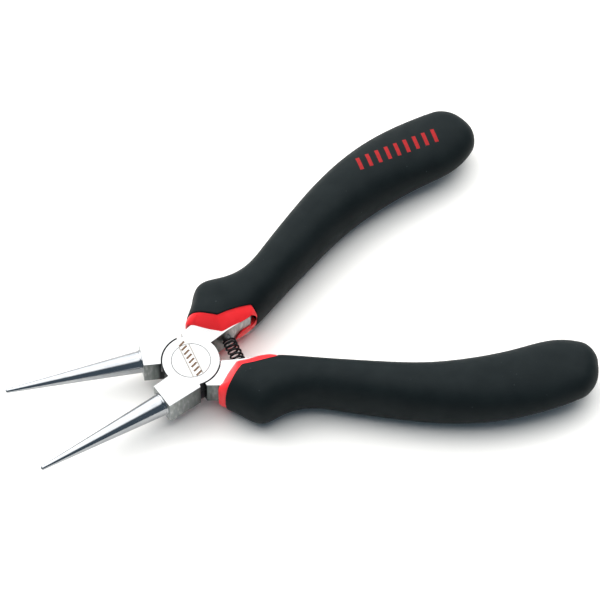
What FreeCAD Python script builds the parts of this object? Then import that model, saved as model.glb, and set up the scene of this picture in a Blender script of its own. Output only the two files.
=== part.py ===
import FreeCAD, Part
import math
import os
import Sketcher

# Round nose pliers: two crossed halves that turn on a rivet, a coil return spring between
# the tangs, and a two-layer grip on each handle.
#
# Row frame, millimetres and degrees: the origin is the centre of the rivet's lower face,
# +X points to the handles, +Y to the right handle and +Z up along the pivot.  The pliers
# lie flat and are stored half open, with the spring relaxed.
#
# The two halves are the same forging.  Each is drawn once, as the right half, whose lap
# disc is the upper one, and the left half is that half turned 180 degrees about X.

SIZES = {
    # Head: the lap joint and its rivet.
    "head_thickness": 6.4,
    "lap_gap": 0.1,
    "disc_radius": 6.2,
    "disc_clearance": 0.2,
    "rivet_shank_radius": 2.6,
    "rivet_head_radius": 4.28,
    "rivet_clearance": 0.05,
    # Jaw block: corners of the full-thickness block in front of the disc.
    "block_inner_front_x": -9.83,
    "block_inner_front_y": -2.8,
    "block_outer_front_x": -8.6,
    "block_outer_front_y": -8.8,
    "block_outer_rear_x": -0.66,
    "block_outer_rear_y": -6.97,
    "block_rear_root_x": -0.4,
    "block_rear_root_y": -5.4,
    "block_inner_root_x": -4.5,
    "block_inner_root_y": -1.2,
    # Round jaw: a cone on a short land, with a domed tip.
    "jaw_centre_x": -9.1,
    "jaw_centre_y": -5.8,
    "jaw_angle": 188.8,
    "jaw_depth": 1.5,
    "jaw_length": 30.1,
    "jaw_land_length": 0.5,
    "jaw_land_radius": 2.62,
    "jaw_base_radius": 2.45,
    "jaw_tip_radius": 0.5,
    # Tang and steel core, in the handle's own axes: x along the handle, y outwards.
    "handle_angle": 23.0,
    "tang_front_root_x": 2.65,
    "tang_front_root_y": 4.9,
    "tang_front_x": 3.42,
    "tang_front_y": 6.3,
    "tang_outer_x": 12.0,
    "tang_outer_y": 6.3,
    "core_start_x": 22.0,
    "core_start_outer_y": 5.8,
    "core_start_inner_y": 1.2,
    "core_end_x": 71.0,
    "core_end_outer_y": 6.2,
    "core_end_inner_y": 1.6,
    "core_outer_bend": 118.0,
    "core_inner_bend": 113.4,
    "tang_step_x": 19.5,
    "tang_step_y": 0.4,
    "tang_rear_x": 16.8,
    "tang_rear_y": -1.5,
    "tang_inner_x": 10.7,
    "tang_inner_y": -0.4,
    "tang_inner_front_x": 6.5,
    "tang_inner_front_y": 0.0,
    "tang_inner_root_x": 3.0,
    "tang_inner_root_y": 0.6,
    # Return spring and the pegs that hold its ends.
    "spring_x": 10.1,
    "spring_radius": 1.55,
    "spring_wire": 0.42,
    "spring_half_length": 3.2,
    "peg_radius": 1.0,
    "peg_tip_y": 2.9,
    "peg_root_y": 5.4,
    # Two-layer grip.
    "sleeve_wall": 0.9,
    "sleeve_front_x": 7.5,
    "rim_rise": 2.3,
    "rest_half_thickness": 6.5,
    "grip_end_round": 3.7,
}

# Cross-sections of a handle along its own x: (distance from the pivot axis, outer side,
# inner side, half thickness).  The outer side swells into the thumb guard at 15.5.
HANDLE_STATIONS = [
    (2.0, 3.6, -0.6, 4.6),
    (4.5, 6.2, -1.0, 5.6),
    (7.2, 8.6, -1.3, 6.1),
    (10.0, 10.1, -1.5, 6.4),
    (13.0, 12.1, -1.6, 6.5),
    (15.5, 12.7, -1.8, 6.5),
    (19.0, 10.9, -1.9, 6.3),
    (24.0, 8.9, -1.4, 6.2),
    (32.0, 9.5, -0.6, 6.4),
    (41.0, 11.1, 0.0, 6.6),
    (50.0, 12.4, 0.2, 6.6),
    (60.0, 12.9, -1.0, 6.3),
    (70.0, 11.9, -3.6, 5.5),
    (79.0, 9.4, -6.0, 4.7),
    (84.0, 7.3, -5.4, 4.4),
    (87.6, 5.4, -4.2, 4.2),
]
SECTION_POINTS = 16
SECTION_EXPONENT = 2.3

# The V-shaped rim where the grip ends on the steel, from the outer corner over the V's
# point and back along the tang's inner edge, in the handle's axes.  Each entry is a point
# on the steel's face and the point above it where the black grip begins.
RIM_LINE = [
    ((4.9, 6.3), (7.2, 8.6)),
    ((6.8, 5.7), (8.7, 6.3)),
    ((8.0, 3.2), (9.7, 4.5)),
    ((9.85, 0.2), (10.9, 2.65)),
    ((12.3, -0.3), (13.4, 1.9)),
    ((14.8, -0.9), (15.5, 1.1)),
    ((17.0, -1.3), (18.4, -0.2)),
]
RIM_REAR_CORNERS = ((17.4, -8.0), (19.2, -8.0))
RIM_OUTSIDE = [(-6.0, -8.0), (-6.0, 16.0), (4.9, 16.0)]

SHEET = "sizes"
doc = FreeCAD.newDocument("round_nose_pliers")


def fill_sheet():
    sheet = doc.addObject("Spreadsheet::Sheet", SHEET)
    for row, (name, number) in enumerate(SIZES.items(), start=1):
        sheet.set(f"A{row}", name)
        sheet.set(f"B{row}", str(number))
        sheet.setAlias(f"B{row}", name)
    doc.recompute()
    return sheet


sheet = fill_sheet()


def size(name):
    """Value of one cell of the sheet."""
    return float(sheet.get(name))


def bind(thing, **expressions):
    """Bind properties to expressions in which a size's name stands for its cell."""
    for path, expression in expressions.items():
        thing.setExpression(path.replace("__", "."), with_sheet(expression))


def with_sheet(expression):
    words = expression.replace("(", " ( ").replace(")", " ) ").split()
    return " ".join(f"{SHEET}.{word}" if word in SIZES else word for word in words)


def origin_plane(body, role):
    return next(part for part in body.Origin.OriginFeatures if part.Role == role)


def add_sketch(body, name, role, turn=0.0, lift="0"):
    """Sketch on one of the body's origin planes, turned and lifted about its normal."""
    sketch = body.newObject("Sketcher::SketchObject", name)
    sketch.AttachmentSupport = (origin_plane(body, role), [""])
    sketch.MapMode = "FlatFace"
    sketch.AttachmentOffset = FreeCAD.Placement(
        FreeCAD.Vector(), FreeCAD.Rotation(FreeCAD.Vector(0, 0, 1), turn))
    bind(sketch, AttachmentOffset__Base__z=lift)
    return sketch


def arc_middle(start, end, radius):
    """Middle of the arc from start to end; a positive radius bulges to the left."""
    chord = end - start
    side = FreeCAD.Vector(-chord.y, chord.x, 0).normalize()
    sagitta = abs(radius) - math.sqrt(radius ** 2 - chord.Length ** 2 / 4)
    return (start + end) / 2 + side * math.copysign(sagitta, radius)


def draw_outline(sketch, corners, arcs=None):
    """Closed outline through corners given as pairs of expressions of the sheet.

    arcs maps a corner's index to (radius name, side) for an arc that starts there.
    """
    arcs = arcs or {}
    places = [FreeCAD.Vector(evaluate(x), evaluate(y), 0) for x, y in corners]
    for index, start in enumerate(places):
        end = places[(index + 1) % len(places)]
        if index in arcs:
            radius, side = arcs[index]
            middle = arc_middle(start, end, side * size(radius))
            sketch.addGeometry(Part.Arc(start, middle, end), False)
        else:
            sketch.addGeometry(Part.LineSegment(start, end), False)
    ends = []
    for index in range(len(corners)):
        # An arc is stored anticlockwise, so one that bulges left starts at its second end.
        turned = index in arcs and arcs[index][1] > 0
        ends.append((2, 1) if turned else (1, 2))
    for index, (x, y) in enumerate(corners):
        following = (index + 1) % len(corners)
        sketch.addConstraint(Sketcher.Constraint(
            "Coincident", index, ends[index][1], following, ends[following][0]))
        for kind, expression in (("DistanceX", x), ("DistanceY", y)):
            number = sketch.addConstraint(Sketcher.Constraint(
                kind, -1, 1, index, ends[index][0], evaluate(expression)))
            name = f"{kind[-1].lower()}_{index}"
            sketch.renameConstraint(number, name)
            sketch.setExpression(f"Constraints.{name}", with_sheet(expression))
    for index, (radius, _) in arcs.items():
        number = sketch.addConstraint(Sketcher.Constraint("Radius", index, size(radius)))
        sketch.renameConstraint(number, f"radius_{index}")
        sketch.setExpression(f"Constraints.radius_{index}", with_sheet(radius))


def evaluate(expression):
    """Number that an expression of the sheet stands for."""
    return float(sheet.evalExpression(with_sheet(expression)))


def draw_circle(sketch, x, y, radius):
    centre = FreeCAD.Vector(evaluate(x), evaluate(y), 0)
    sketch.addGeometry(Part.Circle(centre, FreeCAD.Vector(0, 0, 1), evaluate(radius)), False)
    wanted = (("x", Sketcher.Constraint("DistanceX", -1, 1, 0, 3, centre.x), x),
              ("y", Sketcher.Constraint("DistanceY", -1, 1, 0, 3, centre.y), y),
              ("radius", Sketcher.Constraint("Radius", 0, evaluate(radius)), radius))
    for name, constraint, expression in wanted:
        if name != "radius" and evaluate(expression) == 0:
            continue
        sketch.renameConstraint(sketch.addConstraint(constraint), name)
        sketch.setExpression(f"Constraints.{name}", with_sheet(expression))


def pad(body, sketch, name, length):
    feature = body.newObject("PartDesign::Pad", name)
    feature.Profile = sketch
    bind(feature, Length=length)
    doc.recompute()


def pocket(body, sketch, name, length, reverse=False):
    feature = body.newObject("PartDesign::Pocket", name)
    feature.Profile = sketch
    feature.Reversed = reverse
    bind(feature, Length=length)
    doc.recompute()


def turned_profile(body, kind, sketch, name, axis):
    """Revolution or Groove of a sketch about one of its own axes."""
    feature = body.newObject(f"PartDesign::{kind}", name)
    feature.Profile = sketch
    feature.ReferenceAxis = (sketch, [axis])
    feature.Angle = 360.0
    doc.recompute()


LAP_UNDERSIDE = "head_thickness / 2 + lap_gap / 2"
MID_PLANE = "head_thickness / 2"

# The tang and the core it runs into, clockwise from the tang's front.
TANG_CORNERS = [
    ("tang_front_root_x", "tang_front_root_y"),
    ("tang_front_x", "tang_front_y"),
    ("tang_outer_x", "tang_outer_y"),
    ("core_start_x", "core_start_outer_y"),
    ("core_end_x", "core_end_outer_y"),
    ("core_end_x", "core_end_inner_y"),
    ("core_start_x", "core_start_inner_y"),
    ("tang_step_x", "tang_step_y"),
    ("tang_rear_x", "tang_rear_y"),
    ("tang_inner_x", "tang_inner_y"),
    ("tang_inner_front_x", "tang_inner_front_y"),
    ("tang_inner_root_x", "tang_inner_root_y"),
]
TANG_ARCS = {3: ("core_outer_bend", 1), 5: ("core_inner_bend", -1)}


def half_placement(side):
    """Where a half's solid goes: the left one is turned over about X."""
    if side == "right":
        return FreeCAD.Placement()
    return FreeCAD.Placement(FreeCAD.Vector(0, 0, size("head_thickness")),
                             FreeCAD.Rotation(FreeCAD.Vector(1, 0, 0), 180))


def make_lever(side):
    """One forged half: lap disc, jaw block, round jaw, tang and the core in the grip."""
    body = doc.addObject("PartDesign::Body", f"lever_{side}")
    body.Label = f"lever_{side}"

    disc = add_sketch(body, f"disc_outline_{side}", "XY_Plane", lift=LAP_UNDERSIDE)
    draw_circle(disc, "0", "0", "disc_radius")
    pad(body, disc, f"disc_{side}", "head_thickness / 2 - lap_gap / 2")

    block = add_sketch(body, f"block_outline_{side}", "XY_Plane")
    draw_outline(block, [
        ("block_inner_front_x", "block_inner_front_y"),
        ("block_outer_front_x", "block_outer_front_y"),
        ("block_outer_rear_x", "block_outer_rear_y"),
        ("block_rear_root_x", "block_rear_root_y"),
        ("block_inner_root_x", "block_inner_root_y"),
    ])
    pad(body, block, f"block_{side}", "head_thickness")

    tang = add_sketch(body, f"tang_outline_{side}", "XY_Plane", turn=size("handle_angle"))
    draw_outline(tang, TANG_CORNERS, TANG_ARCS)
    pad(body, tang, f"tang_{side}", "head_thickness")

    recess = add_sketch(body, f"recess_outline_{side}", "XY_Plane")
    draw_circle(recess, "0", "0", "disc_radius + disc_clearance")
    pocket(body, recess, f"recess_{side}", LAP_UNDERSIDE, reverse=True)

    jaw = add_sketch(body, f"jaw_profile_{side}", "XY_Plane", turn=size("jaw_angle"),
                     lift=MID_PLANE)
    bind(jaw, AttachmentOffset__Base__x="jaw_centre_x", AttachmentOffset__Base__y="jaw_centre_y")
    draw_outline(jaw, [
        ("-1 * jaw_depth", "0"),
        ("-1 * jaw_depth", "jaw_land_radius"),
        ("jaw_land_length", "jaw_land_radius"),
        ("jaw_land_length", "jaw_base_radius"),
        ("jaw_length - jaw_tip_radius", "jaw_tip_radius"),
        ("jaw_length", "0"),
    ], {4: ("jaw_tip_radius", 1)})
    turned_profile(body, "Revolution", jaw, f"jaw_{side}", "H_Axis")

    # The rivet is fast in the right half and turns in the left one.
    play = "0" if side == "right" else "rivet_clearance"
    bore = add_sketch(body, f"bore_profile_{side}", "XZ_Plane")
    draw_outline(bore, [
        ("0", LAP_UNDERSIDE + " - lap_gap"),
        (f"rivet_shank_radius + {play}", LAP_UNDERSIDE + " - lap_gap"),
        (f"rivet_shank_radius + {play}",
         "head_thickness - ( rivet_head_radius - rivet_shank_radius )"),
        (f"rivet_head_radius + {play}", "head_thickness"),
        ("0", "head_thickness"),
    ])
    turned_profile(body, "Groove", bore, f"bore_{side}", "V_Axis")

    seat = add_sketch(body, f"peg_seat_outline_{side}", "XZ_Plane")
    draw_circle(seat, "spring_x", MID_PLANE, "peg_radius")
    pocket(body, seat, f"peg_seat_{side}", "peg_root_y")

    body.Placement = half_placement(side)
    doc.recompute()
    return body


def make_rivet():
    body = doc.addObject("PartDesign::Body", "rivet")
    body.Label = "rivet"
    profile = add_sketch(body, "rivet_profile", "XZ_Plane")
    flare = "( rivet_head_radius - rivet_shank_radius )"
    draw_outline(profile, [
        ("0", "0"),
        ("rivet_head_radius", "0"),
        ("rivet_shank_radius", flare),
        ("rivet_shank_radius", f"head_thickness - {flare}"),
        ("rivet_head_radius", "head_thickness"),
        ("0", "head_thickness"),
    ])
    turned_profile(body, "Revolution", profile, "rivet_turned", "V_Axis")
    return body


def make_rod(name, radius, start_y, end_y):
    """Round rod along Y at the spring's place."""
    rod = doc.addObject("Part::Cylinder", name)
    rod.Label = name
    rod.Placement = FreeCAD.Placement(
        FreeCAD.Vector(), FreeCAD.Rotation(FreeCAD.Vector(1, 0, 0), -90))
    bind(rod, Radius=radius, Height=f"{end_y} - {start_y}", Placement__Base__x="spring_x",
         Placement__Base__y=start_y, Placement__Base__z=MID_PLANE)
    return rod


def make_spring():
    """Outer form of the coil return spring, as a tube between the tangs."""
    low, high = "-1 * spring_half_length", "spring_half_length"
    outer = make_rod("spring_outside", "spring_radius", low, high)
    inner = make_rod("spring_inside", "spring_radius - spring_wire", low, high)
    spring = doc.addObject("Part::Cut", "return_spring")
    spring.Label = "return_spring"
    spring.Base = outer
    spring.Tool = inner
    doc.recompute()
    return spring


def make_peg(side):
    """Peg pressed into the tang, on which one end of the spring sits."""
    name = f"spring_peg_{side}"
    if side == "right":
        return make_rod(name, "peg_radius", "peg_tip_y", "peg_root_y")
    return make_rod(name, "peg_radius", "-1 * peg_root_y", "-1 * peg_tip_y")


def section_wire(station):
    """Superellipse across the handle at one station."""
    x, outer, inner, half_thickness = station
    middle = (outer + inner) / 2
    half_width = (outer - inner) / 2
    power = 2 / SECTION_EXPONENT
    points = []
    for step in range(SECTION_POINTS):
        turn = 2 * math.pi * step / SECTION_POINTS
        across = math.copysign(abs(math.cos(turn)) ** power, math.cos(turn))
        up = math.copysign(abs(math.sin(turn)) ** power, math.sin(turn))
        points.append(FreeCAD.Vector(x, middle + half_width * across, half_thickness * up))
    curve = Part.BSplineCurve()
    curve.interpolate(points, PeriodicFlag=True)
    return Part.Wire([curve.toShape()])


def handle_skin():
    """Outer form of both grip layers, with a rounded end and flats to lie on."""
    skin = Part.makeLoft([section_wire(station) for station in HANDLE_STATIONS], True, False)
    end_x = HANDLE_STATIONS[-1][0]
    rear_edges = [edge for edge in skin.Edges if edge.BoundBox.XMin > end_x - 0.1]
    skin = skin.makeFillet(size("grip_end_round"), rear_edges)
    reach = 2 * end_x
    half = size("rest_half_thickness")
    slab = Part.makeBox(reach, reach, 2 * half, FreeCAD.Vector(-reach / 4, -reach / 2, -half))
    return skin.common(slab)


def level_wire(points, height):
    corners = [FreeCAD.Vector(x, y, height) for x, y in points]
    return Part.makePolygon(corners + corners[:1])


def rim_cutter():
    """What the sloping rim leaves free around the tang, in front of the grip."""
    steel = size("head_thickness") / 2
    rise = size("rim_rise")
    top = 1.5 * rise
    outside = [RIM_REAR_CORNERS[0]] + RIM_OUTSIDE
    on_steel = [foot for foot, _ in RIM_LINE] + outside
    above = [tuple(low + (high - low) * top / rise for low, high in zip(foot, head))
             for foot, head in RIM_LINE] + outside
    cutter = Part.Face(level_wire(on_steel, -steel)).extrude(FreeCAD.Vector(0, 0, 2 * steel))
    for sign in (1, -1):
        wires = [level_wire(on_steel, sign * steel), level_wire(above, sign * (steel + top))]
        cutter = cutter.fuse(Part.makeLoft(wires, True, True))
    return cutter


def rim_block():
    """Everything in front of the line where the black grip begins."""
    depth = 2 * size("rest_half_thickness")
    line = [head for _, head in RIM_LINE] + [RIM_REAR_CORNERS[1]] + RIM_OUTSIDE
    base = Part.Face(level_wire(line, -depth))
    return base.extrude(FreeCAD.Vector(0, 0, 2 * depth))


def corner(x, y):
    """Corner of the tang's outline as a point on the mid-plane."""
    return FreeCAD.Vector(size(x), size(y), 0)


def core_jacket():
    """The steel core grown by the sleeve's wall, from inside the rim to past its end."""
    wall = size("sleeve_wall")
    shoulder = corner("tang_outer_x", "tang_outer_y")
    start_outer = corner("core_start_x", "core_start_outer_y")
    end_outer = corner("core_end_x", "core_end_outer_y")
    end_inner = corner("core_end_x", "core_end_inner_y")
    start_inner = corner("core_start_x", "core_start_inner_y")
    step = corner("tang_step_x", "tang_step_y")
    front_inner = FreeCAD.Vector(size("sleeve_front_x"), step.y + wall, 0)
    front_outer = FreeCAD.Vector(size("sleeve_front_x"), shoulder.y - wall, 0)
    outer_middle = arc_middle(start_outer, end_outer, size("core_outer_bend"))
    inner_middle = arc_middle(end_inner, start_inner, -size("core_inner_bend"))
    edges = [
        Part.makeLine(shoulder, start_outer),
        Part.Arc(start_outer, outer_middle, end_outer).toShape(),
        Part.makeLine(end_outer, end_inner),
        Part.Arc(end_inner, inner_middle, start_inner).toShape(),
        Part.makeLine(start_inner, step),
        Part.makeLine(step, front_inner),
        Part.makeLine(front_inner, front_outer),
        Part.makeLine(front_outer, shoulder),
    ]
    face = Part.Face(Part.Wire(edges)).makeOffset2D(wall)
    half = size("head_thickness") / 2 + wall
    face.translate(FreeCAD.Vector(0, 0, -half))
    return face.extrude(FreeCAD.Vector(0, 0, 2 * half))


def add_shape(name, shape, side):
    """Document object for a solid drawn in the handle's axes about the mid-plane."""
    lift = FreeCAD.Placement(
        FreeCAD.Vector(0, 0, size("head_thickness") / 2),
        FreeCAD.Rotation(FreeCAD.Vector(0, 0, 1), size("handle_angle")))
    thing = doc.addObject("Part::Feature", f"{name}_{side}")
    thing.Shape = shape
    thing.Placement = half_placement(side).multiply(lift)
    return thing


def boolean(kind, name, things):
    result = doc.addObject(kind, name)
    result.Label = name
    if kind == "Part::Cut":
        result.Base, result.Tool = things
    else:
        result.Shapes = things
    return result


def make_grip(side, lever, peg):
    """Red inner sleeve with its sloping rim, and the black outer grip."""
    skin = add_shape("handle_skin", handle_skin(), side)
    cutter = add_shape("rim_cutter", rim_cutter(), side)
    front = add_shape("rim_block", rim_block(), side)
    jacket = add_shape("core_jacket", core_jacket(), side)
    red = boolean("Part::MultiFuse", f"sleeve_region_{side}", [front, jacket])
    solid = boolean("Part::MultiCommon", f"sleeve_solid_{side}", [skin, red])
    free = boolean("Part::MultiFuse", f"sleeve_space_{side}", [cutter, lever, peg])
    sleeve = boolean("Part::Cut", f"sleeve_{side}", [solid, free])
    taken = boolean("Part::MultiFuse", f"grip_space_{side}", [cutter, red, lever, peg])
    grip = boolean("Part::Cut", f"grip_{side}", [skin, taken])
    doc.recompute()
    return [sleeve, grip]


def check(things):
    for thing in doc.Objects:
        if "Invalid" in thing.State or "Error" in thing.State:
            raise RuntimeError(f"{thing.Name} failed: {thing.State}")
    for thing in things:
        shape = thing.Shape
        if shape.isNull() or not shape.isValid() or not shape.Solids:
            raise RuntimeError(f"{thing.Label} has no valid solid")


def main():
    pieces = [make_rivet(), make_spring()]
    for side in ("right", "left"):
        lever = make_lever(side)
        peg = make_peg(side)
        pieces += [lever, peg] + make_grip(side, lever, peg)
    doc.recompute()
    check(pieces)
    os.makedirs("parts", exist_ok=True)
    for piece in pieces:
        piece.Shape.exportStep(f"parts/{piece.Label}.step")
        box = piece.Shape.BoundBox
        print(f"{piece.Label:18s} volume {piece.Shape.Volume:9.1f}"
              f"  x {box.XMin:6.1f} {box.XMax:6.1f}  y {box.YMin:6.1f} {box.YMax:6.1f}"
              f"  z {box.ZMin:5.1f} {box.ZMax:5.1f}")


main()
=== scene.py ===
import math

import bmesh
import bpy
import numpy as np
from mathutils import Matrix, Vector
from mathutils.geometry import delaunay_2d_cdt


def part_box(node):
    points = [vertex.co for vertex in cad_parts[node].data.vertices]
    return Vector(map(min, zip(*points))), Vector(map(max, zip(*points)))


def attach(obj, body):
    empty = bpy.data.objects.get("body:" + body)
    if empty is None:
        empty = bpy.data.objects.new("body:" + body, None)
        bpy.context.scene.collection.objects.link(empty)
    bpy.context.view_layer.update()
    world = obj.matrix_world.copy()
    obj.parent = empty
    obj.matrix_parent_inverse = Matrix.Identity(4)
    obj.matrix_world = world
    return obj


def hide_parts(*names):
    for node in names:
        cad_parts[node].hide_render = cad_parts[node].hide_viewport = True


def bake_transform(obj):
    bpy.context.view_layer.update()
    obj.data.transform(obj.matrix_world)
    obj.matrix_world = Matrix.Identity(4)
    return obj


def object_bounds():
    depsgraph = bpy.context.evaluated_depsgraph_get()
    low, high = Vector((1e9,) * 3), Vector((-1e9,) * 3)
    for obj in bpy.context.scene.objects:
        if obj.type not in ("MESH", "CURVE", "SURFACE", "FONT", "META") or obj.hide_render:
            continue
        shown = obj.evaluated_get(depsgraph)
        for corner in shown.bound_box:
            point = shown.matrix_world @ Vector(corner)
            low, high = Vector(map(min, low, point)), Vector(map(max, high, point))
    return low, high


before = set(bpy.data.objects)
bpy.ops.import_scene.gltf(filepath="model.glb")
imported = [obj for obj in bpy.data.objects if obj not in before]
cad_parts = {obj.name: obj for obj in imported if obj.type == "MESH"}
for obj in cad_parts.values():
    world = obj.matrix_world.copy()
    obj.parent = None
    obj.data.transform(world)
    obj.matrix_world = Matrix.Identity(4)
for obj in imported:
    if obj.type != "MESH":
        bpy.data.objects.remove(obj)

# Round nose pliers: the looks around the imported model.
#
# Shapes are drawn in millimetres about the head's mid-plane, as the right half, and moved
# into the row frame by half_matrix().  The left half is the right one turned over about X.
# A handle has axes of its own: x along the handle from the pivot, y outwards, z up.

MM = 0.001
CAD_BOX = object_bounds()
HALF_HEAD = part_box("rivet")[1].z / MM / 2
HANDLE_ANGLE = math.radians(23.0)
SIDES = {"right": "right_half", "left": "left_half"}

# Head.
LAP_GAP = 0.1
DISC_RADIUS = 6.2
RECESS_RADIUS = 6.45
SHANK_RADIUS = 2.6
RIVET_RADIUS = 4.28
HAIRLINE = 0.11
# Outlines of the jaw block, and of the tang in the handle's axes.  Both begin inside the lap
# disc, clear of the rivet's seat.
BLOCK = [(-9.83, -2.8), (-8.6, -8.8), (-0.66, -6.97), (-0.4, -5.4), (-5.3, -1.44)]
TANG = [(5.0, 0.257), (6.5, 0.0), (10.7, -0.4), (16.8, -1.5), (19.5, 0.4), (22.0, 1.2),
        (26.0, 2.0), (26.0, 6.0), (22.0, 5.8), (12.0, 6.3), (3.42, 6.3), (2.65, 4.9)]
EDGE_ROUND = 0.1

# Round jaw.
JAW_ROOT = (-9.1, -5.8)
JAW_ANGLE = math.radians(188.8)
JAW_DEPTH = 1.5
JAW_LENGTH = 30.1
JAW_LAND = 0.5
JAW_LAND_RADIUS = 2.62
JAW_BASE_RADIUS = 2.45
JAW_TIP_RADIUS = 0.5
# The land's rounded edge, and how far past it the cone begins.
LAND_ROUND = 0.12
LAND_STEP = 0.05

# Return spring.
SPRING_X = 10.1
SPRING_RADIUS = 1.55
SPRING_WIRE = 0.47
SPRING_HALF_LENGTH = 3.2
SPRING_TURNS = 6.5
END_TURN_REST = 0.045
PEG_RADIUS = 1.0
PEG_TIP = 2.9
PEG_ROOT = 5.4

# Grip: (distance along the handle, outer side, inner side, half thickness).
STATIONS = [
    (2.0, 3.6, -0.6, 4.6), (4.5, 6.2, -1.0, 5.6), (7.2, 8.6, -1.3, 6.1), (10.0, 10.1, -1.5, 6.4),
    (13.0, 12.1, -1.6, 6.5), (15.5, 12.7, -1.8, 6.5), (19.0, 10.9, -1.9, 6.3),
    (24.0, 8.9, -1.4, 6.2), (32.0, 9.5, -0.6, 6.4), (41.0, 11.1, 0.0, 6.5), (50.0, 12.4, 0.2, 6.5),
    (60.0, 12.9, -1.0, 6.3), (70.0, 11.9, -3.6, 5.5), (79.0, 9.39, -6.0, 4.7),
    (84.0, 7.3, -5.4, 4.4), (87.6, 5.4, -4.2, 4.2),
]
SECTION_EXPONENT = 2.3
REST_HALF = 6.49
GRIP_END = STATIONS[-1][0]
END_ROUND = 3.7
GRIP_WALL = 1.6
GRIP_HOLLOW_END = 24.0

# The sloping red rim: a point on the steel and the point above it where the black begins.
RIM_LINE = [
    ((6.3, 6.2), (7.2, 8.6)), ((6.8, 5.7), (8.7, 6.3)), ((8.0, 3.2), (9.7, 4.5)),
    ((9.85, 0.2), (10.9, 2.65)), ((12.3, -0.35), (13.4, 1.9)), ((14.8, -1.17), (15.5, 1.1)),
    ((17.0, -1.57), (18.4, -0.2)),
]
RIM_REAR = (19.2, -8.0)
RIM_FRONT = (4.9, 16.0)
# Where the rim leaves the steel: the mouth's edge on the inner side, from top to bottom.
MOUTH = [(17.2, -1.5, 3.2), (18.0, -1.8, 2.3), (18.25, -1.95, 1.2), (17.8, -1.95, 0.1),
         (16.7, -1.85, -0.4), (15.3, -1.6, -0.3), (14.0, -1.4, -0.4), (13.0, -1.2, -1.2),
         (12.5, -0.95, -2.2), (12.3, -0.45, -3.2)]
# The black grip's rolled lip, and how far the red rim swells: all round, and in front.
LIP = 0.35
RIM_SWELL = 0.24
COLLAR = (-1.7, 0.3, 0.0)
# Place across the handle (outwards, up) that the mouth's lower lip is drawn towards.
TONGUE = (-1.75, -3.1)
SLEEVE_WALL = 1.3
SLEEVE_OVERLAP = 3.0
CORE_MIDDLE = 3.0
AROUND = 160

# Marks: the lines on the disc, the row on the grip, and how far every mark stands above and
# below its surface.
MARK_LINES = (-1.1, 1.15)
LINE_LENGTH = 8.2
PRINT_START = np.array([60.2, 7.3])
PRINT_END = np.array([77.8, 1.1])
MARK_HEIGHT = 0.012
MARK_DEPTH = 0.02


# ---------------------------------------------------------------- mesh helpers

def half_matrix(side, handle=False):
    """From a half's own millimetres to the row frame's metres."""
    matrix = Matrix.Rotation(HANDLE_ANGLE, 4, "Z") if handle else Matrix.Identity(4)
    if side == "left":
        matrix = Matrix.Rotation(math.pi, 4, "X") @ matrix
    return Matrix.Translation((0, 0, HALF_HEAD * MM)) @ Matrix.Scale(MM, 4) @ matrix


def mesh_object(name, vertices, faces):
    mesh = bpy.data.meshes.new(name)
    mesh.from_pydata([tuple(v) for v in vertices], [], faces)
    mesh.validate()
    thing = bpy.data.objects.new(name, mesh)
    bpy.context.scene.collection.objects.link(thing)
    return thing


def tidy_normals(thing):
    """Merges points that coincide and turns every face outwards."""
    shape = bmesh.new()
    shape.from_mesh(thing.data)
    bmesh.ops.remove_doubles(shape, verts=shape.verts, dist=1e-5)
    bmesh.ops.recalc_face_normals(shape, faces=shape.faces)
    shape.to_mesh(thing.data)
    shape.free()


def shade_smooth(thing, angle=35):
    """Smooth shading, except over edges sharper than an angle in degrees."""
    thing.data.polygons.foreach_set("use_smooth", [True] * len(thing.data.polygons))
    thing.data.set_sharp_from_angle(angle=math.radians(angle))


def ring_faces(rows, around, closed_rows=False):
    """Quads between successive rings of the same number of points."""
    faces = []
    for row in range(rows if closed_rows else rows - 1):
        here, there = row * around, (row + 1) % rows * around
        for step in range(around):
            after = (step + 1) % around
            faces.append((here + step, here + after, there + after, there + step))
    return faces


def lathe(name, profile, segments=96):
    """Solid turned about the x axis; profile is (along, radius), closed at both ends."""
    vertices = []
    for along, radius in profile:
        for step in range(segments):
            turn = 2 * math.pi * step / segments
            vertices.append((along, radius * math.cos(turn), radius * math.sin(turn)))
    faces = ring_faces(len(profile), segments)
    faces.append(list(range(segments)))
    faces.append(list(range(len(vertices) - segments, len(vertices)))[::-1])
    thing = mesh_object(name, vertices, faces)
    tidy_normals(thing)
    return thing


def apply_modifiers(thing):
    dependencies = bpy.context.evaluated_depsgraph_get()
    mesh = bpy.data.meshes.new_from_object(thing.evaluated_get(dependencies))
    thing.modifiers.clear()
    thing.data = mesh


def round_edges(thing, width, share_of):
    """Rounds every sharp edge; share_of gives an edge's part of the width."""
    shape = bmesh.new()
    shape.from_mesh(thing.data)
    weight = shape.edges.layers.float.new("bevel_weight_edge")
    for edge in shape.edges:
        if len(edge.link_faces) == 2 and edge.calc_face_angle(0) > math.radians(25):
            edge[weight] = share_of([vertex.co for vertex in edge.verts])
    shape.to_mesh(thing.data)
    shape.free()
    modifier = thing.modifiers.new("edges", "BEVEL")
    modifier.width = width
    modifier.segments = 3
    modifier.limit_method = "WEIGHT"
    modifier.use_clamp_overlap = False
    apply_modifiers(thing)


def even_normals(thing):
    """Keeps the flat faces flat to the eye up to their rounded edges."""
    modifier = thing.modifiers.new("normals", "WEIGHTED_NORMAL")
    modifier.keep_sharp = True
    modifier.weight = 60
    apply_modifiers(thing)


def join(things):
    """Joins meshes into the first one, keeping each one's materials."""
    base = things[0]
    with bpy.context.temp_override(active_object=base, selected_editable_objects=things):
        bpy.ops.object.join()
    return base


def place(thing, matrix):
    """Moves the mesh itself, keeping its faces outwards when it is mirrored."""
    thing.data.transform(matrix)
    if matrix.determinant() < 0:
        thing.data.flip_normals()
    return thing


# ---------------------------------------------------------------- materials

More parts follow.
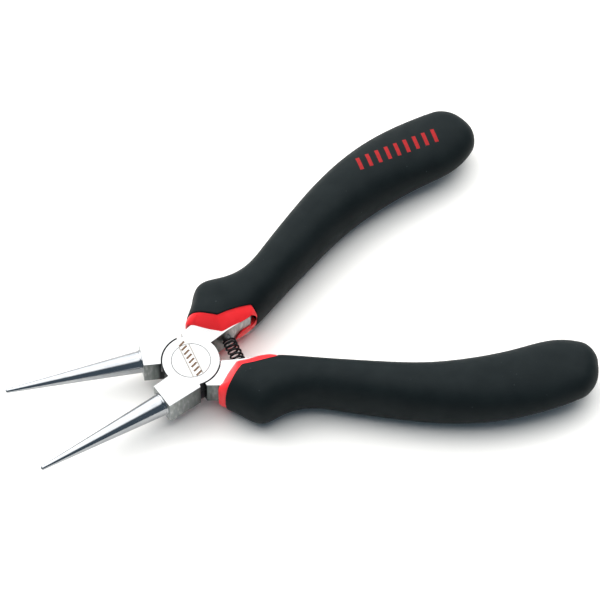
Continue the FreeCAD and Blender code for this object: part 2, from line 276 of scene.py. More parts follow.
def new_material(name):
    """Material with its nodes, its links and its shader."""
    material = bpy.data.materials.new(name)
    material.use_nodes = True
    nodes = material.node_tree.nodes
    shader = next(node for node in nodes if node.type == "BSDF_PRINCIPLED")
    return material, nodes, material.node_tree.links, shader


def noise(nodes, links, scale, detail, stretch=None):
    """Noise in the piece's own metres; stretch is a scale per axis and a turn about Z."""
    place_of = nodes.new("ShaderNodeTexCoord")
    texture = nodes.new("ShaderNodeTexNoise")
    texture.inputs["Scale"].default_value = scale
    texture.inputs["Detail"].default_value = detail
    if stretch is None:
        links.new(place_of.outputs["Object"], texture.inputs["Vector"])
    else:
        mapping = nodes.new("ShaderNodeMapping")
        mapping.inputs["Scale"].default_value = stretch[0]
        mapping.inputs["Rotation"].default_value = (0, 0, stretch[1])
        links.new(place_of.outputs["Object"], mapping.inputs["Vector"])
        links.new(mapping.outputs["Vector"], texture.inputs["Vector"])
    return texture.outputs["Fac"]


def ramp(nodes, links, value, stops):
    """Colour ramp from (position, colour) stops."""
    node = nodes.new("ShaderNodeValToRGB")
    links.new(value, node.inputs["Fac"])
    elements = node.color_ramp.elements
    for element, (position, colour) in zip(elements, stops):
        element.position = position
        element.color = (*colour, 1.0)
    for position, colour in stops[2:]:
        elements.new(position).color = (*colour, 1.0)
    return node.outputs["Color"]


def spread(nodes, links, value, low, high):
    """A noise's usual range, 0.3 to 0.7, stretched from low to high."""
    node = nodes.new("ShaderNodeMapRange")
    node.inputs["From Min"].default_value = 0.3
    node.inputs["From Max"].default_value = 0.7
    node.inputs["To Min"].default_value = low
    node.inputs["To Max"].default_value = high
    links.new(value, node.inputs["Value"])
    return node.outputs["Result"]


def bump(nodes, links, height, distance, strength, below=None):
    """Normal raised by a height, on top of the normal below."""
    node = nodes.new("ShaderNodeBump")
    node.inputs["Strength"].default_value = strength
    node.inputs["Distance"].default_value = distance
    links.new(height, node.inputs["Height"])
    if below is not None:
        links.new(below, node.inputs["Normal"])
    return node.outputs["Normal"]


def mixed(nodes, links, factor, first, second, kind="RGBA"):
    """Blend of two values or colours; the second may be a constant colour."""
    node = nodes.new("ShaderNodeMix")
    node.data_type = kind
    links.new(factor, node.inputs["Factor"])
    sockets = [s for s in node.inputs if s.enabled and s.name in ("A", "B")]
    links.new(first, sockets[0])
    if isinstance(second, tuple):
        sockets[1].default_value = second
    else:
        links.new(second, sockets[1])
    return next(s for s in node.outputs if s.enabled)


def side_faces(nodes, links):
    """1 on upright faces, 0 on the faces that look up or down."""
    place_of = nodes.new("ShaderNodeTexCoord")
    split = nodes.new("ShaderNodeSeparateXYZ")
    links.new(place_of.outputs["Normal"], split.inputs["Vector"])
    size = nodes.new("ShaderNodeMath")
    size.operation = "ABSOLUTE"
    links.new(split.outputs["Z"], size.inputs[0])
    node = nodes.new("ShaderNodeMapRange")
    node.inputs["From Min"].default_value = 0.75
    node.inputs["From Max"].default_value = 0.35
    links.new(size.outputs["Value"], node.inputs["Value"])
    return node.outputs["Result"]


def near_pivot(nodes, links, fade):
    """1 inside the lap joint's recess, falling to 0 over a distance outside it."""
    place_of = nodes.new("ShaderNodeTexCoord")
    flat = nodes.new("ShaderNodeVectorMath")
    flat.operation = "MULTIPLY"
    flat.inputs[1].default_value = (1, 1, 0)
    links.new(place_of.outputs["Object"], flat.inputs[0])
    reach = nodes.new("ShaderNodeVectorMath")
    reach.operation = "LENGTH"
    links.new(flat.outputs["Vector"], reach.inputs[0])
    node = nodes.new("ShaderNodeMapRange")
    node.inputs["From Min"].default_value = (RECESS_RADIUS + 0.25 + fade) * MM
    node.inputs["From Max"].default_value = (RECESS_RADIUS + 0.25) * MM
    links.new(reach.outputs["Value"], node.inputs["Value"])
    return node.outputs["Result"]


def grip_material():
    """Matt soft-touch rubber with a fine moulded grain and a few pale specks."""
    material, nodes, links, shader = new_material("grip_rubber")
    tone = noise(nodes, links, 220, 4)
    base = ramp(nodes, links, tone, [(0.3, (0.0072, 0.0108, 0.0118)),
                                     (0.7, (0.0098, 0.0140, 0.0150))])
    specks = noise(nodes, links, 1300, 1)
    mask = nodes.new("ShaderNodeMapRange")
    mask.inputs["From Min"].default_value = 0.775
    mask.inputs["From Max"].default_value = 0.81
    mask.inputs["To Max"].default_value = 0.5
    links.new(specks, mask.inputs["Value"])
    mix = mixed(nodes, links, mask.outputs["Result"], base, (0.05, 0.06, 0.065, 1))
    links.new(mix, shader.inputs["Base Color"])
    links.new(spread(nodes, links, noise(nodes, links, 400, 3), 0.46, 0.56),
              shader.inputs["Roughness"])
    shader.inputs["Specular IOR Level"].default_value = 0.05
    grain = bump(nodes, links, noise(nodes, links, 5200, 2), 0.00003, 0.5)
    links.new(bump(nodes, links, noise(nodes, links, 260, 3), 0.0002, 0.2, grain),
              shader.inputs["Normal"])
    return material


def sleeve_material():
    """Bright red moulded plastic, semi-gloss."""
    material, nodes, links, shader = new_material("sleeve_plastic")
    tone = noise(nodes, links, 300, 3)
    base = ramp(nodes, links, tone, [(0.3, (0.94, 0.028, 0.034)), (0.7, (0.99, 0.037, 0.045))])
    links.new(base, shader.inputs["Base Color"])
    links.new(spread(nodes, links, noise(nodes, links, 700, 3), 0.30, 0.42),
              shader.inputs["Roughness"])
    shader.inputs["Specular IOR Level"].default_value = 0.2
    links.new(bump(nodes, links, noise(nodes, links, 2600, 2), 0.00002, 0.4),
              shader.inputs["Normal"])
    return material


def steel_material():
    """Satin steel: flat faces bright and finely ground, side faces streaked and rougher, with
    painted shade that darkens them towards the lap joint and turns its gap near-black.
    """
    material, nodes, links, shader = new_material("satin_steel")
    shader.inputs["Metallic"].default_value = 1.0
    cloud = noise(nodes, links, 300, 4)
    bright = ramp(nodes, links, cloud, [(0.3, (0.33, 0.335, 0.335)), (0.7, (0.38, 0.385, 0.385))])
    streaks = noise(nodes, links, 1500, 5, stretch=((1.0, 1.0, 0.3), 0.0))
    light = ramp(nodes, links, streaks, [(0.30, (0.24, 0.26, 0.255)), (0.52, (0.34, 0.36, 0.355)),
                                         (0.68, (0.56, 0.57, 0.56))])
    # Painted shade: the side faces' streaks turn darker within 5 mm of the lap joint's recess.
    dark = ramp(nodes, links, streaks, [(0.30, (0.075, 0.095, 0.09)), (0.72, (0.15, 0.17, 0.165))])
    streaks_and_painted_shade = mixed(nodes, links, near_pivot(nodes, links, 5.0), light, dark)
    side = side_faces(nodes, links)
    # Painted shade: side faces within 0.5 mm of the recess, in the lap joint's gap, go near-black.
    # Side faces take this colour, flat faces the bright one.
    sides_and_gap_shade = mixed(nodes, links, near_pivot(nodes, links, 0.5), streaks_and_painted_shade, (0.012, 0.014, 0.016, 1))
    links.new(mixed(nodes, links, side, bright, sides_and_gap_shade), shader.inputs["Base Color"])
    lines = noise(nodes, links, 900, 3, stretch=((0.12, 4.0, 1.2), 0.2))
    smooth = spread(nodes, links, lines, 0.24, 0.36)
    rough = spread(nodes, links, streaks, 0.34, 0.50)
    links.new(mixed(nodes, links, side, smooth, rough, "FLOAT"), shader.inputs["Roughness"])
    fine = bump(nodes, links, lines, 0.00002, 0.16)
    links.new(bump(nodes, links, streaks, 0.00003, 0.2, fine), shader.inputs["Normal"])
    return material


def jaw_material():
    """Polished steel with faint turning lines around the cone."""
    material, nodes, links, shader = new_material("polished_steel")
    shader.inputs["Metallic"].default_value = 1.0
    cloud = noise(nodes, links, 500, 3)
    base = ramp(nodes, links, cloud, [(0.3, (0.30, 0.315, 0.33)), (0.7, (0.36, 0.37, 0.38))])
    links.new(base, shader.inputs["Base Color"])
    along = nodes.new("ShaderNodeAttribute")
    along.attribute_name = "along"
    rings = nodes.new("ShaderNodeTexNoise")
    rings.noise_dimensions = "1D"
    rings.inputs["Scale"].default_value = 9.0
    rings.inputs["Detail"].default_value = 3.0
    links.new(along.outputs["Fac"], rings.inputs["W"])
    links.new(spread(nodes, links, rings.outputs["Fac"], 0.10, 0.19), shader.inputs["Roughness"])
    links.new(bump(nodes, links, rings.outputs["Fac"], 0.00001, 0.5), shader.inputs["Normal"])
    return material


def rivet_material():
    """Steel ground flush, with lines round the axis."""
    material, nodes, links, shader = new_material("rivet_steel")
    shader.inputs["Metallic"].default_value = 1.0
    lines = noise(nodes, links, 900, 3, stretch=((0.12, 4.0, 1.2), 1.1))
    base = ramp(nodes, links, lines, [(0.3, (0.33, 0.335, 0.335)), (0.7, (0.38, 0.385, 0.385))])
    links.new(base, shader.inputs["Base Color"])
    links.new(spread(nodes, links, lines, 0.22, 0.36), shader.inputs["Roughness"])
    links.new(bump(nodes, links, lines, 0.00002, 0.2), shader.inputs["Normal"])
    return material


def spring_material():
    """Blackened spring wire."""
    material, nodes, links, shader = new_material("spring_wire")
    tone = noise(nodes, links, 900, 3)
    base = ramp(nodes, links, tone, [(0.3, (0.004, 0.004, 0.005)), (0.7, (0.012, 0.012, 0.014))])
    links.new(base, shader.inputs["Base Color"])
    shader.inputs["Specular IOR Level"].default_value = 0.12
    links.new(spread(nodes, links, tone, 0.28, 0.42), shader.inputs["Roughness"])
    links.new(bump(nodes, links, noise(nodes, links, 3000, 2), 0.00002, 0.4),
              shader.inputs["Normal"])
    return material


def etch_material():
    """Bronze-brown laser marking on steel."""
    material, nodes, links, shader = new_material("etched_mark")
    tone = noise(nodes, links, 2500, 3)
    base = ramp(nodes, links, tone, [(0.3, (0.10, 0.060, 0.038)), (0.7, (0.20, 0.125, 0.08))])
    links.new(base, shader.inputs["Base Color"])
    shader.inputs["Specular IOR Level"].default_value = 0.1
    links.new(spread(nodes, links, tone, 0.6, 0.75), shader.inputs["Roughness"])
    return material


def line_material():
    """Fine tan line scribed in steel."""
    material, nodes, links, shader = new_material("scribed_line")
    tone = noise(nodes, links, 1500, 2)
    base = ramp(nodes, links, tone, [(0.3, (0.26, 0.235, 0.205)), (0.7, (0.34, 0.31, 0.275))])
    links.new(base, shader.inputs["Base Color"])
    shader.inputs["Specular IOR Level"].default_value = 0.1
    links.new(spread(nodes, links, tone, 0.6, 0.75), shader.inputs["Roughness"])
    return material


def print_material():
    """Red ink on the rubber."""
    material, nodes, links, shader = new_material("grip_print_ink")
    tone = noise(nodes, links, 1500, 3)
    base = ramp(nodes, links, tone, [(0.3, (0.26, 0.010, 0.011)), (0.7, (0.34, 0.015, 0.017))])
    links.new(base, shader.inputs["Base Color"])
    links.new(spread(nodes, links, tone, 0.5, 0.65), shader.inputs["Roughness"])
    shader.inputs["Specular IOR Level"].default_value = 0.1
    return material


MATERIALS = {
    "grip": grip_material(),
    "sleeve": sleeve_material(),
    "steel": steel_material(),
    "jaw": jaw_material(),
    "rivet": rivet_material(),
    "spring": spring_material(),
    "etch": etch_material(),
    "print": print_material(),
    "line": line_material(),
}


# ---------------------------------------------------------------- steel

def make_jaw():
    """Cone on a short land, with a domed tip, in its own axes: x towards the tip."""
    profile = [(-JAW_DEPTH, JAW_LAND_RADIUS), (JAW_LAND - LAND_ROUND, JAW_LAND_RADIUS),
               (JAW_LAND - LAND_ROUND / 4, JAW_LAND_RADIUS - LAND_ROUND / 3),
               (JAW_LAND, JAW_LAND_RADIUS - LAND_ROUND - 0.02)]
    root, dome = JAW_LAND + LAND_STEP, JAW_LENGTH - JAW_TIP_RADIUS
    rows = 60
    for row in range(rows + 1):
        share = row / rows
        profile.append((root + share * (dome - root),
                        JAW_BASE_RADIUS + share * (JAW_TIP_RADIUS - JAW_BASE_RADIUS)))
    dome_rows = 8
    for row in range(1, dome_rows + 1):
        turn = math.pi / 2 * row / (dome_rows + 0.5)
        profile.append((dome + JAW_TIP_RADIUS * math.sin(turn), JAW_TIP_RADIUS * math.cos(turn)))
    jaw = lathe("jaw", profile)
    along = jaw.data.attributes.new("along", "FLOAT", "POINT")
    along.data.foreach_set("value", [vertex.co.x for vertex in jaw.data.vertices])
    jaw.data.materials.append(MATERIALS["jaw"])
    shade_smooth(jaw)
    turn = Matrix.Rotation(JAW_ANGLE, 4, "Z")
    return place(jaw, Matrix.Translation((*JAW_ROOT, 0)) @ turn)


def circle(radius):
    """Corners of a circle about the pivot."""
    segments = 128
    turns = [2 * math.pi * step / segments for step in range(segments)]
    return [(radius * math.cos(turn), radius * math.sin(turn)) for turn in turns]


def lever_regions():
    """Plan of one half cut into triangles, each listed with the outlines it lies in."""
    cosine, sine = math.cos(HANDLE_ANGLE), math.sin(HANDLE_ANGLE)
    tang = [(x * cosine - y * sine, x * sine + y * cosine) for x, y in TANG]
    outlines = {"disc": circle(DISC_RADIUS), "recess": circle(RECESS_RADIUS), "block": BLOCK,
                "tang": tang, "seat": circle(RIVET_RADIUS), "shank": circle(SHANK_RADIUS)}
    points, loops = [], []
    for outline in outlines.values():
        loops.append(list(range(len(points), len(points) + len(outline))))
        points += [Vector(point) for point in outline]
    names = list(outlines)
    corners, _, triangles, _, _, sources = delaunay_2d_cdt(points, [], loops, 0, 1e-4, True)
    inside = [{names[index] for index in found} for found in sources]
    return corners, list(zip(triangles, inside))


def lever_mesh():
    """Forging without its jaw: a full-height block and tang, and the half-height lap disc."""
    points, regions = lever_regions()
    shelf = LAP_GAP / 2
    seat_bottom = HALF_HEAD - (RIVET_RADIUS - SHANK_RADIUS)
    solid = []
    for corners, inside in regions:
        if "shank" in inside or not inside & {"disc", "block", "tang"}:
            continue
        tops = []
        for corner in corners:
            on_shank = points[corner].length < (SHANK_RADIUS + RIVET_RADIUS) / 2
            tops.append(seat_bottom if "seat" in inside and on_shank else HALF_HEAD)
        solid.append((corners, shelf if "recess" in inside else -HALF_HEAD, tops))
    vertices, faces, known = [], [], {}

    def at(corner, height):
        key = (corner, round(height, 4))
        if key not in known:
            known[key] = len(vertices)
            vertices.append((points[corner].x, points[corner].y, height))
        return known[key]

    sides = {}
    for corners, bottom, tops in solid:
        faces.append([at(corner, top) for corner, top in zip(corners, tops)])
        faces.append([at(corner, bottom) for corner in reversed(corners)])
        for step, corner in enumerate(corners):
            after = (step + 1) % len(corners)
            edge = (corner, corners[after])
            sides[edge] = (bottom, tops[step], tops[after])
    for (first, second), (bottom, first_top, second_top) in sides.items():
        other = sides.get((second, first))
        if bottom < (shelf if other is None else other[0]):
            faces.append([at(first, bottom), at(second, bottom), at(second, shelf),
                          at(first, shelf)])
        if other is None:
            faces.append([at(first, shelf), at(second, shelf), at(second, second_top),
                          at(first, first_top)])
    body = mesh_object("body", vertices, faces)
    shape = bmesh.new()
    shape.from_mesh(body.data)
    bmesh.ops.remove_doubles(shape, verts=shape.verts, dist=0.01)
    bmesh.ops.dissolve_limit(shape, angle_limit=math.radians(0.5), verts=shape.verts,
                             edges=shape.edges)
    bmesh.ops.recalc_face_normals(shape, faces=shape.faces)
    shape.to_mesh(body.data)
    shape.free()
    return body


def edge_share(ends):
    """How much of the edge rounding an edge of the forging gets."""
    reach = [math.hypot(end.x, end.y) for end in ends]
    if all(abs(end.z - LAP_GAP / 2) < 0.01 for end in ends) or max(reach) < SHANK_RADIUS + 0.02:
        # Hidden: in the lap or in the bore.
        return 0.0
    if all(abs(radius - RIVET_RADIUS) < 0.02 for radius in reach):
        return 0.2
    return 1.0


def make_lever(side):
    """Forged half with its round jaw."""
    body = lever_mesh()
    round_edges(body, EDGE_ROUND, edge_share)
    body.data.materials.append(MATERIALS["steel"])
    shade_smooth(body, 60)
    even_normals(body)
    lever = join([body, make_jaw()])
    lever.name = f"forged_half_{side}"
    place(lever, half_matrix(side))
    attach(lever, SIDES[side])
    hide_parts(f"lever_{side}")


def make_rivet():
    """Countersunk rivet, a hairline smaller than its seats."""
    soft = 0.03
    flare = RIVET_RADIUS - SHANK_RADIUS
    shank = SHANK_RADIUS - HAIRLINE
    head = RIVET_RADIUS - HAIRLINE
    upper = [(HALF_HEAD - flare, shank), (HALF_HEAD - soft, head), (HALF_HEAD, head - soft)]
    lower = [(-height, radius) for height, radius in reversed(upper)]
    rivet = lathe("joint_rivet", lower + upper, 128)
    place(rivet, Matrix.Rotation(-math.pi / 2, 4, "Y"))
    rivet.data.materials.append(MATERIALS["rivet"])
    shade_smooth(rivet, 20)
    place(rivet, half_matrix("right"))
    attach(rivet, "right_half")
    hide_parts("rivet")


def make_peg(side):
    """Peg in the tang with a chamfered tip, on which the spring's end sits."""
    soft = 0.12
    profile = [(PEG_TIP, PEG_RADIUS - soft), (PEG_TIP + soft, PEG_RADIUS), (PEG_ROOT, PEG_RADIUS)]
    peg = lathe(f"spring_seat_{side}", profile, 48)
    peg.data.materials.append(MATERIALS["rivet"])
    shade_smooth(peg, 20)
    place(peg, Matrix.Translation((SPRING_X, 0, 0)) @ Matrix.Rotation(math.pi / 2, 4, "Z"))
    place(peg, half_matrix(side))
    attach(peg, SIDES[side])
    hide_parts(f"spring_peg_{side}")


def make_spring():
    """Helix of round wire along Y, stretched between the halves."""
    around, per_turn = 14, 40
    steps = int(SPRING_TURNS * per_turn)
    mean = SPRING_RADIUS - SPRING_WIRE / 2
    reach = SPRING_HALF_LENGTH - SPRING_WIRE / 2
    vertices = []
    for step in range(steps + 1):
        share = step / steps
        turn = 2 * math.pi * share * SPRING_TURNS
        # The turns lie closer together at both ends.
        rise = share - END_TURN_REST * math.sin(2 * math.pi * share)
        centre = Vector((math.cos(turn) * mean, -reach + 2 * reach * rise, math.sin(turn) * mean))
        outward = Vector((math.cos(turn), 0, math.sin(turn)))
        for corner in range(around):
            angle = 2 * math.pi * corner / around
            offset = outward * math.cos(angle) + Vector((0, 1, 0)) * math.sin(angle)
            vertices.append(centre + offset * (SPRING_WIRE / 2) + Vector((SPRING_X, 0, 0)))
    faces = ring_faces(steps + 1, around)
    faces.append(list(range(around)))
    faces.append(list(range(len(vertices) - around, len(vertices)))[::-1])
    spring = mesh_object("coil_spring", vertices, faces)
    tidy_normals(spring)
    spring.data.materials.append(MATERIALS["spring"])
    shade_smooth(spring, 50)
    place(spring, half_matrix("right"))
    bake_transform(spring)
    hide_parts("return_spring")


# ---------------------------------------------------------------- grip and sleeve

def cubic_through(xs, ys):
    """Natural cubic through the points, as a function on arrays."""
    xs, ys = np.array(xs, float), np.array(ys, float)
    count, gap = len(xs), np.diff(xs)
    system, right = np.eye(count), np.zeros(count)
    for i in range(1, count - 1):
        system[i, i - 1:i + 2] = gap[i - 1], 2 * (gap[i - 1] + gap[i]), gap[i]
        right[i] = 6 * ((ys[i + 1] - ys[i]) / gap[i] - (ys[i] - ys[i - 1]) / gap[i - 1])
    bend = np.linalg.solve(system, right)

    def value(x):
        i = np.clip(np.searchsorted(xs, x) - 1, 0, count - 2)
        ahead, behind, width = xs[i + 1] - x, x - xs[i], gap[i]
        return ((bend[i] * ahead ** 3 + bend[i + 1] * behind ** 3) / (6 * width)
                + (ys[i] / width - bend[i] * width / 6) * ahead
                + (ys[i + 1] / width - bend[i + 1] * width / 6) * behind)
    return value


OUTER, INNER, HALF = (cubic_through([s[0] for s in STATIONS], [s[k] for s in STATIONS])
                      for k in (1, 2, 3))


def skin(x, turn):
    """Points on the handle's outer form; turn 0 is the outer side, a quarter turn the top."""
    x, turn = np.broadcast_arrays(np.asarray(x, float), np.asarray(turn, float))
    behind = np.clip(x - (GRIP_END - END_ROUND), 0, END_ROUND)
    shrink = END_ROUND - np.sqrt(END_ROUND ** 2 - behind ** 2)
    outer, inner = OUTER(x), INNER(x)
    across = (outer - inner) / 2 - shrink
    up = HALF(x) - shrink
    power = 2 / SECTION_EXPONENT
    cosine, sine = np.cos(turn), np.sin(turn)
    y = (outer + inner) / 2 + across * np.sign(cosine) * np.abs(cosine) ** power
    z = up * np.sign(sine) * np.abs(sine) ** power
    return np.stack([x, y, np.clip(z, -REST_HALF, REST_HALF)], axis=-1)


def rim_order():
    """The rim's line by rising y, as (y, x, position along the rim)."""
    heads = [RIM_FRONT] + [head for _, head in RIM_LINE] + [RIM_REAR]
    line = [(y, x, position - 1) for position, (x, y) in enumerate(heads)]
    return np.array(sorted(line))


RIM = rim_order()


def black_edge(turns):
    """For each turn, the distance along the handle where the black grip begins."""
    distances = np.arange(3.0, 22.0, 0.01)
    edge = []
    for turn in turns:
        y = skin(distances, turn)[:, 1]
        behind = distances >= np.interp(y, RIM[:, 0], RIM[:, 1])
        edge.append(distances[int(np.argmax(behind))])
    return np.array(edge)


def skin_frame(x, turn):
    """Point, outward normal and forward direction along the skin."""
    step = 0.05
    point = skin(x, turn)
    along = skin(x - step, turn) - skin(x + step, turn)
    round_it = skin(x, turn + 0.01) - skin(x, turn - 0.01)
    normal = np.cross(along, round_it)
    normal /= np.linalg.norm(normal, axis=1, keepdims=True)
    centre = np.stack([x, (OUTER(x) + INNER(x)) / 2, 0 * x], axis=-1)
    flip = np.sign(np.sum(normal * (point - centre), axis=1, keepdims=True))
    along /= np.linalg.norm(along, axis=1, keepdims=True)
    return point, normal * flip, along


TURNS = 2 * math.pi * (np.arange(AROUND) + 0.5) / AROUND
EDGE = black_edge(TURNS)


def grid_object(name, rings):
    """Closed shell through rings of AROUND points, with a face over each end."""
    vertices = np.concatenate(rings)
    faces = ring_faces(len(rings), AROUND)
    faces.append(list(range(AROUND)))
    faces.append(list(range(len(vertices) - AROUND, len(vertices))))
    thing = mesh_object(name, vertices, faces)
    tidy_normals(thing)
    return thing


def make_grip(side):
    """Black outer grip, from its rolled front lip to its round end."""
    inside, outward, _ = skin_frame(np.full(AROUND, GRIP_HOLLOW_END), TURNS)
    reach = EDGE + LIP
    point, normal, forward = skin_frame(reach, TURNS)
    rings = [inside - outward * GRIP_WALL, point - normal * GRIP_WALL + forward * LIP * 0.6]
    for degrees in (90, 68, 45, 22):
        angle = math.radians(degrees)
        rings.append(point + forward * LIP * math.sin(angle)
                     - normal * LIP * (1 - math.cos(angle)))
    rows = 150
    for row in range(rows):
        share = row / (rows - 1)
        # Rows crowd towards the round end.
        share = share * (1.25 - 0.25 * share ** 3)
        rings.append(skin(reach + share * (GRIP_END - reach), TURNS))
    last = rings[-1]
    middle = last.mean(axis=0)
    for share in (0.6, 0.25):
        rings.append(middle + (last - middle) * share)
    grip = grid_object(f"soft_grip_{side}", rings)
    grip.data.materials.append(MATERIALS["grip"])
    shade_smooth(grip, 60)
    place(grip, half_matrix(side, handle=True))
    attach(grip, SIDES[side])
    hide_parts(f"grip_{side}")


def foot_ring(point):
    """The rim's lower edge: on the steel, and round the open mouth on the inner side.

    Also returns how much each point belongs to the collar in front and to the tongue below
    the mouth, from 0 to 1.
    """
    position = np.interp(point[:, 1], RIM[:, 0], RIM[:, 2])
    position = np.clip(position, 0, len(RIM_LINE) - 1)
    order = np.arange(len(RIM_LINE))
    x, y = (np.interp(position, order, [foot[k] for foot, _ in RIM_LINE]) for k in (0, 1))
    height = np.sign(point[:, 2]) * HALF_HEAD
    front = position < 1e-3
    height[front] = HALF_HEAD * point[front, 2] / np.abs(point[front, 2]).max()
    foot = np.stack([x, y, height], axis=-1)
    turned = np.arange(AROUND)
    # The mouth opens near the rim's last corner above, and closes near its fourth one below.
    first = turned[(position > 5.9) & (point[:, 2] > 0)].min()
    last = turned[(position > 4.1) & (point[:, 2] < 0)].max()
    share = (turned - first) / (last - first)
    mouth = np.array(MOUTH)
    knots = np.linspace(0, 1, len(mouth))
    curve = np.stack([cubic_through(knots, mouth[:, k])(np.clip(share, 0, 1))
                      for k in range(3)], axis=-1)
    collar = np.clip(1 - position, 0, 1)
    inner = ((share >= 0) & (share <= 1))[:, None]
    tongue = np.where(inner[:, 0], np.clip((share - 0.35) / 0.2, 0, 1), 0)
    tongue *= np.clip((1.0 - share) / 0.15, 0, 1)
    return np.where(inner, curve, foot), collar, tongue


def make_sleeve(side):
    """Red inner sleeve: the sloping rim that shows, and its throat around the steel."""
    point, normal, forward = skin_frame(EDGE + LIP * 0.4, TURNS)
    foot, collar, tongue = foot_ring(skin(EDGE, TURNS))
    high = point - normal * LIP * 0.75
    middle = (high + foot) / 2
    control = middle + normal * RIM_SWELL + collar[:, None] * COLLAR
    low = np.column_stack([middle[:, 0], np.tile(TONGUE, (AROUND, 1))])
    control += tongue[:, None] * (low - control)
    behind, outward, _ = skin_frame(EDGE + SLEEVE_OVERLAP, TURNS)
    rings = [behind - outward * SLEEVE_WALL, high - forward * 0.8]
    rows = 16
    for row in range(rows + 1):
        share = row / rows
        rings.append((1 - share) ** 2 * high + 2 * share * (1 - share) * control
                     + share ** 2 * foot)
    inward = np.stack([np.zeros(AROUND), CORE_MIDDLE - foot[:, 1], -foot[:, 2]], axis=-1)
    inward /= np.linalg.norm(inward, axis=1, keepdims=True)
    for depth, back in ((0.10, 0.06), (0.25, 0.5), (SLEEVE_WALL, 4.0)):
        rings.append(foot + inward * depth + [back, 0, 0])
    vertices = np.concatenate(rings)
    sleeve = mesh_object(f"inner_sleeve_{side}", vertices,
                         ring_faces(len(rings), AROUND, closed_rows=True))
    tidy_normals(sleeve)
    sleeve.data.materials.append(MATERIALS["sleeve"])
    shade_smooth(sleeve, 50)
    if side == "left":
        # Both mouths open the same way up, so the left one is a mirror image.
        place(sleeve, Matrix.Scale(-1, 4, (0, 0, 1)))
    place(sleeve, half_matrix(side, handle=True))
    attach(sleeve, SIDES[side])
    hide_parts(f"sleeve_{side}")


# ---------------------------------------------------------------- marks

def plate_on(name, patches, surface):
    """Thin plates laid on a surface: each patch is a grid of surface coordinates."""
    vertices, faces = [], []
    for patch in patches:
        rows, columns = patch.shape[:2]
        point, normal = surface(patch.reshape(-1, 2))
        base = len(vertices)
        count = rows * columns
        vertices += list(point + normal * MARK_HEIGHT) + list(point - normal * MARK_DEPTH)
        for row in range(rows - 1):
            for column in range(columns - 1):
                corner = base + row * columns + column
                quad = (corner, corner + 1, corner + columns + 1, corner + columns)
                faces.append(quad)
                faces.append(tuple(index + count for index in reversed(quad)))
        loop = list(range(columns))
        loop += [row * columns + columns - 1 for row in range(1, rows)]
        loop += [(rows - 1) * columns + column for column in reversed(range(columns - 1))]
        loop += [row * columns for row in reversed(range(1, rows - 1))]
        for here, there in zip(loop, loop[1:] + loop[:1]):
            faces.append((base + there, base + here, base + here + count, base + there + count))
    thing = mesh_object(name, vertices, faces)
    tidy_normals(thing)
    return thing


def strip(start, end, width, rows=8):
    """Grid over a bar from start to end."""
    start, end = np.array(start, float), np.array(end, float)
    along = end - start
    across = np.array([-along[1], along[0]]) / np.linalg.norm(along) * width
    steps = np.linspace(0, 1, rows)[:, None, None]
    sides = np.linspace(-0.5, 0.5, 3)[None, :, None]
    return start + along * steps + across * sides


def make_disc_marks():
    """Two fine lines across the rivet with a row of slanted bars between them."""
    def surface(points):
        count = len(points)
        flat = np.column_stack([points, np.full(count, HALF_HEAD)])
        return flat, np.tile([0, 0, 1.0], (count, 1))

    reach = LINE_LENGTH / 2
    patches = [strip((x, reach), (x, -reach), 0.22) for x in MARK_LINES]
    lines = plate_on("disc_lines", patches, surface)
    lines.data.materials.append(MATERIALS["line"])
    bars = []
    for step in range(8):
        x, y = -0.25 + 0.09 * step, 4.6 - 1.17 * step
        bars.append(strip((x - 0.72, y - 0.36), (x + 0.72, y + 0.36), 0.46))
    marks = plate_on("disc_marks", bars, surface)
    marks.data.materials.append(MATERIALS["etch"])
    for thing in (lines, marks):
        place(thing, half_matrix("right"))
        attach(thing, "right_half")


def make_grip_print():
    """Red printed row of slanted bars along the top of the right grip, near its end."""
    def surface(points):
        x = points[:, 0]
        half = (OUTER(x) - INNER(x)) / 2
        across = (points[:, 1] - (OUTER(x) + INNER(x)) / 2) / half
        turn = np.arccos(np.sign(across) * np.abs(across) ** (SECTION_EXPONENT / 2))
        return skin_frame(x, turn)[:2]

    bars = []
    for centre in np.linspace(PRINT_START, PRINT_END, 9):
        bars.append(strip(centre - (0.35, 1.55), centre + (1.25, 1.55), 0.85, rows=12))
    printed = plate_on("grip_print", bars, surface)
    printed.data.materials.append(MATERIALS["print"])
    place(printed, half_matrix("right", handle=True))
    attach(printed, "right_half")


# ---------------------------------------------------------------- stage

FLOOR = CAD_BOX[0].z
CAMERA_TARGET = Vector((28.34, 6.59, HALF_HEAD)) * MM
CAMERA_AZIMUTH = math.radians(-23.66)
CAMERA_ELEVATION = math.radians(57.95)
CAMERA_ROLL = math.radians(0.29)
CAMERA_DISTANCE = 0.8826
CAMERA_LENS = 243.6
TENT_CENTRE = (0.12, 0.52, 0.846)
TENT_STRENGTH = 2.9
TENT_EDGE = (0.53, 0.72)
KEY_PLACE = Vector((-0.30, 0.80, 1.10))
KEY_SIZE = 0.9
KEY_ENERGY = 5.0


def make_camera():
    """Long lens above the jaws, looking down at the joint."""
    data = bpy.data.cameras.new("camera")
    data.lens = CAMERA_LENS
    data.sensor_width = 36.0
    data.clip_start = 0.01
    data.clip_end = 20.0
    camera = bpy.data.objects.new("camera", data)
    bpy.context.scene.collection.objects.link(camera)
    level = math.cos(CAMERA_ELEVATION)
    back = Vector((math.sin(CAMERA_AZIMUTH) * level, -math.cos(CAMERA_AZIMUTH) * level,
                   math.sin(CAMERA_ELEVATION)))
    camera.location = CAMERA_TARGET + back * CAMERA_DISTANCE
    look = (-back).to_track_quat("-Z", "Y").to_matrix().to_4x4()
    camera.rotation_euler = (look @ Matrix.Rotation(CAMERA_ROLL, 4, "Z")).to_euler()
    bpy.context.scene.camera = camera


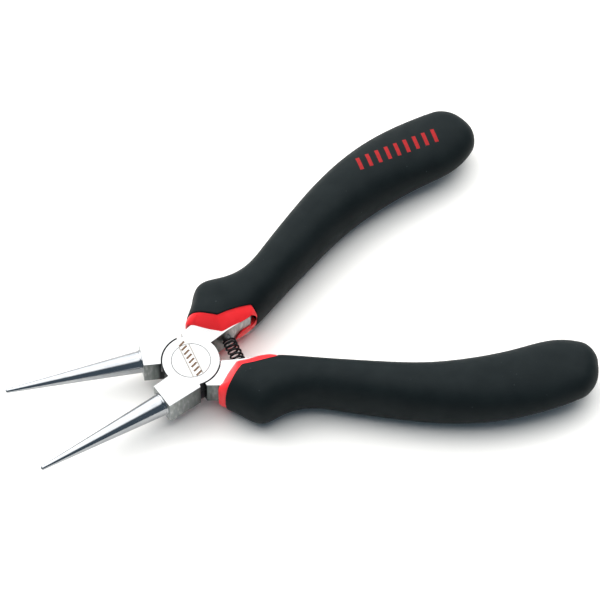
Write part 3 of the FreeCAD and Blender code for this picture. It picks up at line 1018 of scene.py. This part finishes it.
def make_floor():
    """Plain pale table top."""
    reach = 3.0
    floor = mesh_object("floor", [(-reach, -reach, FLOOR), (reach, -reach, FLOOR),
                                  (reach, reach, FLOOR), (-reach, reach, FLOOR)],
                        [(0, 1, 2, 3)])
    material, nodes, links, shader = new_material("pale_floor")
    tone = noise(nodes, links, 12, 2)
    links.new(ramp(nodes, links, tone, [(0.3, (0.93, 0.915, 0.88)), (0.7, (0.95, 0.935, 0.90))]),
              shader.inputs["Base Color"])
    shader.inputs["Roughness"].default_value = 0.8
    shader.inputs["Specular IOR Level"].default_value = 0.2
    floor.data.materials.append(material)


def make_key_light():
    """Large square light over the far side, facing the tool."""
    data = bpy.data.lights.new("key", "AREA")
    data.shape = "SQUARE"
    data.size = KEY_SIZE
    data.energy = KEY_ENERGY
    light = bpy.data.objects.new("key", data)
    bpy.context.scene.collection.objects.link(light)
    light.location = KEY_PLACE
    light.rotation_euler = (CAMERA_TARGET - KEY_PLACE).to_track_quat("-Z", "Y").to_euler()


def make_world():
    """White tent over the far side of the table, dark room behind the camera."""
    world = bpy.data.worlds.new("tent")
    world.use_nodes = True
    nodes, links = world.node_tree.nodes, world.node_tree.links
    place_of = nodes.new("ShaderNodeTexCoord")
    toward = nodes.new("ShaderNodeVectorMath")
    toward.operation = "DOT_PRODUCT"
    links.new(place_of.outputs["Generated"], toward.inputs[0])
    toward.inputs[1].default_value = TENT_CENTRE
    colour = ramp(nodes, links, toward.outputs["Value"],
                  [(TENT_EDGE[0], (0.044, 0.060, 0.076)), (TENT_EDGE[1], (1, 1, 1))])
    background = next(node for node in nodes if node.type == "BACKGROUND")
    links.new(colour, background.inputs["Color"])
    background.inputs["Strength"].default_value = TENT_STRENGTH
    bpy.context.scene.world = world


make_camera()
make_rivet()
make_spring()
for half in SIDES:
    make_lever(half)
    make_peg(half)
    make_grip(half)
    make_sleeve(half)
make_disc_marks()
make_grip_print()
make_floor()
make_world()
make_key_light()
bpy.context.scene.view_settings.view_transform = "Standard"
